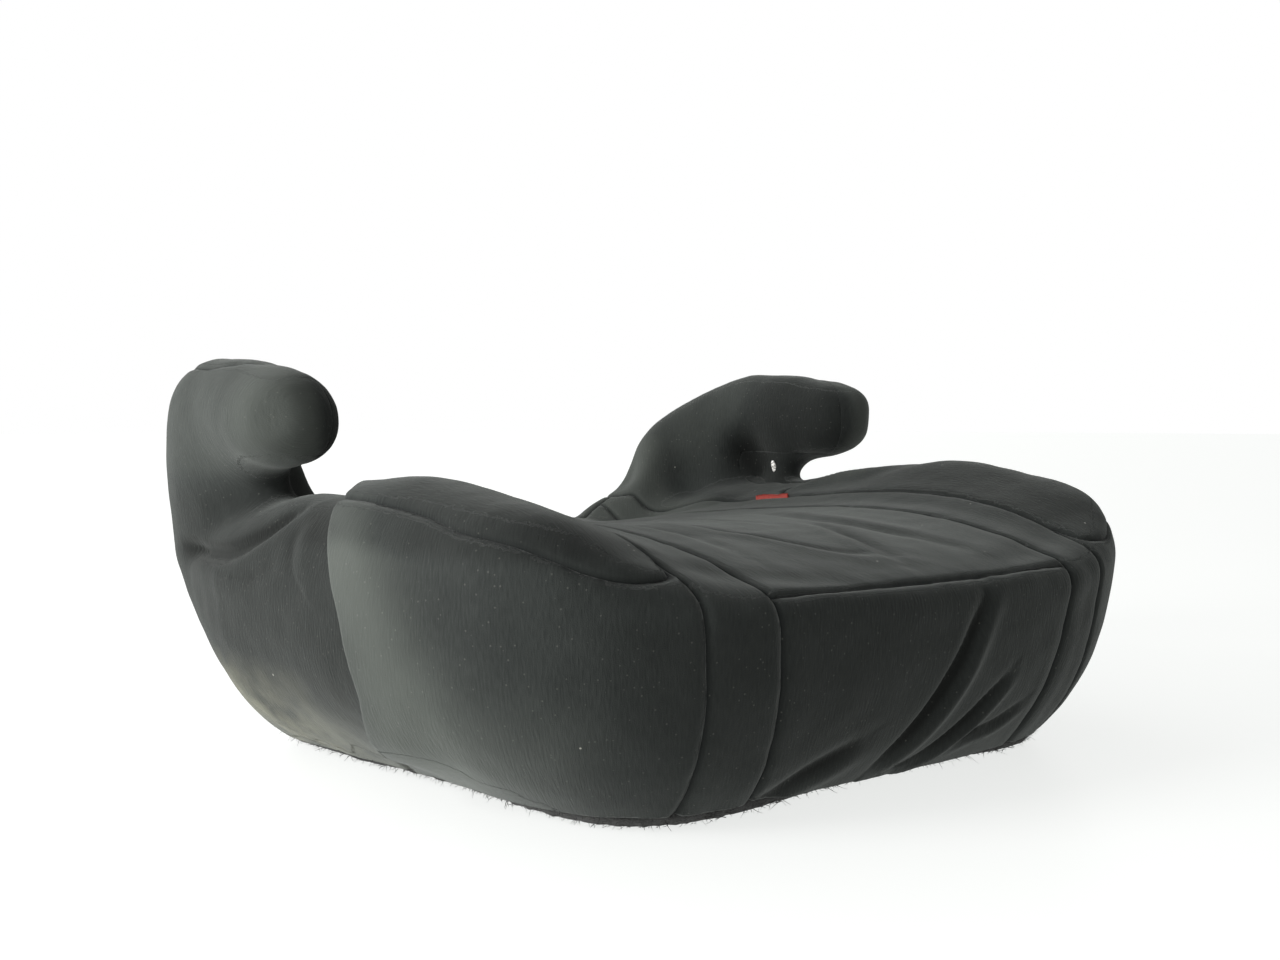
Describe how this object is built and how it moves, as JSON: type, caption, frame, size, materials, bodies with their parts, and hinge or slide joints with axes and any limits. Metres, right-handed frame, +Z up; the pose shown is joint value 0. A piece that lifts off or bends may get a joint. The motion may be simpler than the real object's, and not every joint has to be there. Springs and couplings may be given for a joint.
{
  "type": "booster seat",
  "caption": "Backless child's car booster seat: moulded foam core with two hooked belt guides and raised side bolsters, in a fitted dark knit cover.",
  "frame": {"origin": "middle of the bottom of the seat's overall box, on the surface that it stands on", "axes": "+Z up; -Y is the front edge, where the child's knees are; +X is towards the belt guide that is on the right when the front is seen from outside"},
  "size_m": [0.4456, 0.396, 0.2001],
  "materials": {
    "cover_knit": "matte, finely ribbed brushed knit, faded and dusty",
    "core_eps": "matt moulded bead foam",
    "pad_foam": "matt open-cell polyurethane foam",
    "hem_fabric": "matte, fuzzy cut edge",
    "elastic_band": "matte woven elastic",
    "tag_ribbon": "satin woven ribbon"
  },
  "bodies": {
    "root": {"foam_core": "core_eps", "seat_wadding": "pad_foam", "seat_panel": "cover_knit", "front_panel": "cover_knit", "back_panel": "cover_knit", "seat_side_strip_right": "cover_knit", "seat_side_strip_left": "cover_knit", "bolster_panel_right": "cover_knit", "bolster_panel_left": "cover_knit", "side_panel_right": "cover_knit", "side_panel_left": "cover_knit", "horn_outer_cover_right": "cover_knit", "horn_outer_cover_left": "cover_knit", "horn_inner_cover_right": "cover_knit", "horn_inner_cover_left": "cover_knit", "hem_binding": "hem_fabric", "hem_elastic": "elastic_band", "side_tag": "tag_ribbon"}
  },
  "joints": []
}
